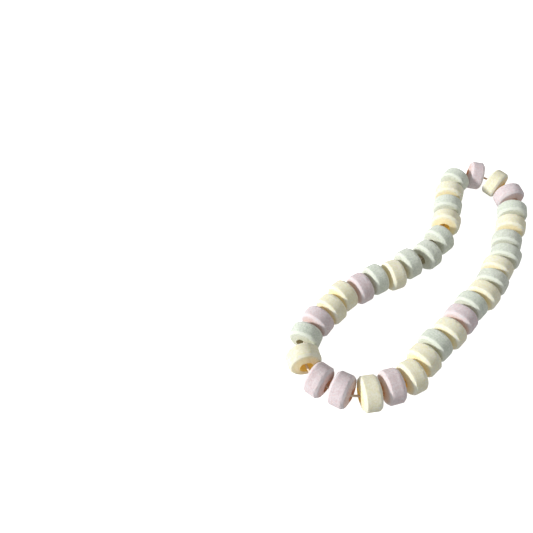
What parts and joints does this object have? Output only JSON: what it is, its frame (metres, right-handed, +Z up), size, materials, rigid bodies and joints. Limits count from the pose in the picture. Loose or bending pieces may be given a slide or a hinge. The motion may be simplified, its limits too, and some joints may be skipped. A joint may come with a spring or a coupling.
{
  "type": "candy necklace",
  "caption": "Loop of ring-shaped pressed sugar beads in pale green, yellow and pink on a thin closed elastic, lying flat; worn round the neck or wrist and eaten.",
  "frame": {"origin": "on the table, under the middle of the necklace's box", "axes": "+Z up from the table; +X the long way of the loop, towards its tight bend; +Y from the front row of beads towards the back row, which bows inwards"},
  "size_m": [0.1208, 0.046, 0.0115],
  "materials": {
    "green_candy": "chalky matte pressed sugar, pale mint green, finely mottled",
    "yellow_candy": "chalky matte pressed sugar, pale cream yellow",
    "pink_candy": "chalky matte pressed sugar, pale lilac pink",
    "elastic": "thin off-white elastic thread"
  },
  "bodies": {
    "root": {"bead_01_green": "green_candy", "bead_02_yellow": "yellow_candy", "bead_03_green": "green_candy", "bead_04_yellow": "yellow_candy", "bead_05_green": "green_candy", "bead_06_green": "green_candy", "bead_07_green": "green_candy", "bead_08_yellow": "yellow_candy", "bead_09_green": "green_candy", "bead_10_pink": "pink_candy", "bead_11_yellow": "yellow_candy", "bead_12_yellow": "yellow_candy", "bead_13_pink": "pink_candy", "bead_14_green": "green_candy", "bead_15_yellow": "yellow_candy", "bead_16_pink": "pink_candy", "bead_17_pink": "pink_candy", "bead_18_yellow": "yellow_candy", "bead_19_pink": "pink_candy", "bead_20_yellow": "yellow_candy", "bead_21_yellow": "yellow_candy", "bead_22_green": "green_candy", "bead_23_yellow": "yellow_candy", "bead_24_pink": "pink_candy", "bead_25_green": "green_candy", "bead_26_yellow": "yellow_candy", "bead_27_green": "green_candy", "bead_28_yellow": "yellow_candy", "bead_29_green": "green_candy", "bead_30_green": "green_candy", "bead_31_yellow": "yellow_candy", "bead_32_green": "green_candy", "bead_33_pink": "pink_candy", "bead_34_yellow": "yellow_candy", "bead_35_pink": "pink_candy", "elastic": "elastic"}
  },
  "joints": []
}
